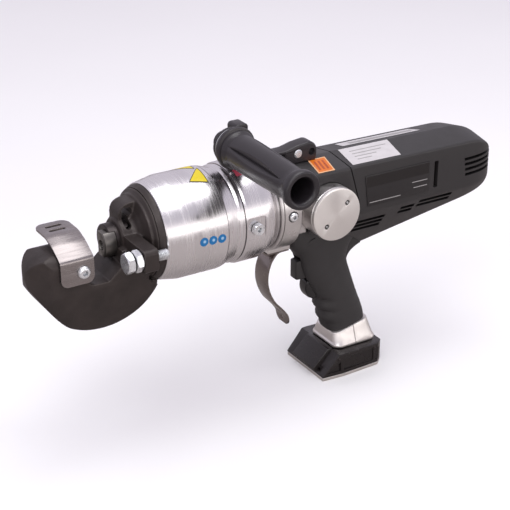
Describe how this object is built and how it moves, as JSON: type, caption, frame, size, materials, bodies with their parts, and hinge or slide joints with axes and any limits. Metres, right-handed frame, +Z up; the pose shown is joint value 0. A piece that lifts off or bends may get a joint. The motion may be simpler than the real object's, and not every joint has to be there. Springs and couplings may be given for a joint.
{
  "type": "cordless hydraulic bar cutter",
  "caption": "Hand-held cordless hydraulic cutter for steel bar: C-shaped forged head with a sliding blade, aluminium cylinder, side handle, pistol grip and battery foot.",
  "frame": {"origin": "centre of the battery foot's underside", "axes": "+X from the cutting head towards the motor, +Z up out of the foot, -Y to the operator's left, where the side handle is"},
  "size_m": [0.5247, 0.185, 0.292],
  "materials": {
    "forged_steel": "dark phosphated forging",
    "turned_aluminium": "turned, bright",
    "cast_aluminium": "machined casting",
    "satin_aluminium": "satin anodised",
    "stainless": "brushed sheet",
    "zinc_steel": "zinc plated",
    "tool_steel": "ground and hardened",
    "black_plastic": "moulded, satin",
    "gloss_plastic": "moulded, glossy",
    "seal_rubber": "moulded seal",
    "motor_iron": "laminations and windings",
    "board": "circuit board"
  },
  "bodies": {
    "tool": {"cutter_head": "forged_steel", "cylinder_body": "turned_aluminium", "pump_case": "cast_aluminium", "bearing_plate": "cast_aluminium", "reservoir_cap": "satin_aluminium", "collar_front": "satin_aluminium", "collar_rear": "satin_aluminium", "foot_plate": "satin_aluminium", "cutter_guard": "stainless", "trigger_guard": "stainless", "fixed_cutter_screw": "zinc_steel", "guard_screw": "zinc_steel", "stopper_locknut": "zinc_steel", "flange_screw_left": "zinc_steel", "flange_screw_top": "zinc_steel", "flange_screw_right": "zinc_steel", "oil_fill_plug": "zinc_steel", "bracket_stud": "zinc_steel", "bracket_screw": "zinc_steel", "handle_stud": "zinc_steel", "foot_screw_1": "zinc_steel", "foot_screw_2": "zinc_steel", "foot_screw_3": "zinc_steel", "foot_screw_4": "zinc_steel", "trigger_guard_screw": "zinc_steel", "fixed_cutter": "tool_steel", "return_spring": "tool_steel", "check_valve": "tool_steel", "eccentric_bearing": "tool_steel", "front_bearing": "tool_steel", "rear_bearing": "tool_steel", "lower_trigger_pin": "tool_steel", "handle_bracket": "black_plastic", "side_handle": "black_plastic", "front_cover": "black_plastic", "motor_shell_left": "black_plastic", "motor_shell_right": "black_plastic", "nameplate": "black_plastic", "grip_left": "black_plastic", "grip_right": "black_plastic", "foot_shell": "black_plastic", "brush_carrier": "gloss_plastic", "switch_module": "gloss_plastic", "rod_seal": "seal_rubber", "reservoir_bladder": "seal_rubber", "stator": "motor_iron", "control_board": "board"},
    "ram": {"ram": "tool_steel", "piston_seal": "seal_rubber", "moving_cutter": "tool_steel", "moving_cutter_screw": "zinc_steel"},
    "stopper": {"stopper_bolt": "zinc_steel"},
    "release_valve": {"release_valve": "zinc_steel"},
    "trigger": {"trigger": "black_plastic"},
    "lower_trigger": {"lower_trigger": "gloss_plastic"},
    "armature": {"armature": "motor_iron"},
    "eccentric": {"eccentric_shaft": "tool_steel", "reduction_gear": "tool_steel"},
    "plunger": {"pump_plunger": "tool_steel"}
  },
  "joints": [
    {"name": "ram_slide", "type": "slide", "parent": "tool", "child": "ram", "axis": [-1, 0, 0], "range_m": [0, 0.0172], "deforming": ["return_spring"]},
    {"name": "stopper_slide", "type": "slide", "parent": "tool", "child": "stopper", "axis": [-1, 0, 0], "range_m": [-0.001, 0.012]},
    {"name": "release_valve_turn", "type": "hinge", "parent": "tool", "child": "release_valve", "pos_m": [-0.124, -0.05, 0.2], "axis": [0, -1, 0], "range_deg": [0, 90]},
    {"name": "trigger_slide", "type": "slide", "parent": "tool", "child": "trigger", "axis": [1, 0, 0], "range_m": [0, 0.005], "stiffness_N_per_m": 400},
    {"name": "lower_trigger_hinge", "type": "hinge", "parent": "tool", "child": "lower_trigger", "pos_m": [-0.031, 0, 0.102], "axis": [0, -1, 0], "range_deg": [0, 10]},
    {"name": "armature_spin", "type": "hinge", "parent": "tool", "child": "armature", "pos_m": [0.034, 0, 0.203], "axis": [1, 0, 0], "continuous": true},
    {"name": "eccentric_spin", "type": "hinge", "parent": "tool", "child": "eccentric", "pos_m": [-0.036, 0, 0.18485], "axis": [1, 0, 0], "continuous": true},
    {"name": "plunger_slide", "type": "slide", "parent": "tool", "child": "plunger", "axis": [0, 0, 1], "range_m": [0, 0.003]}
  ],
  "couplings": [
    {"joint": "eccentric_spin", "follows": "armature_spin", "ratio": -0.33333}
  ]
}
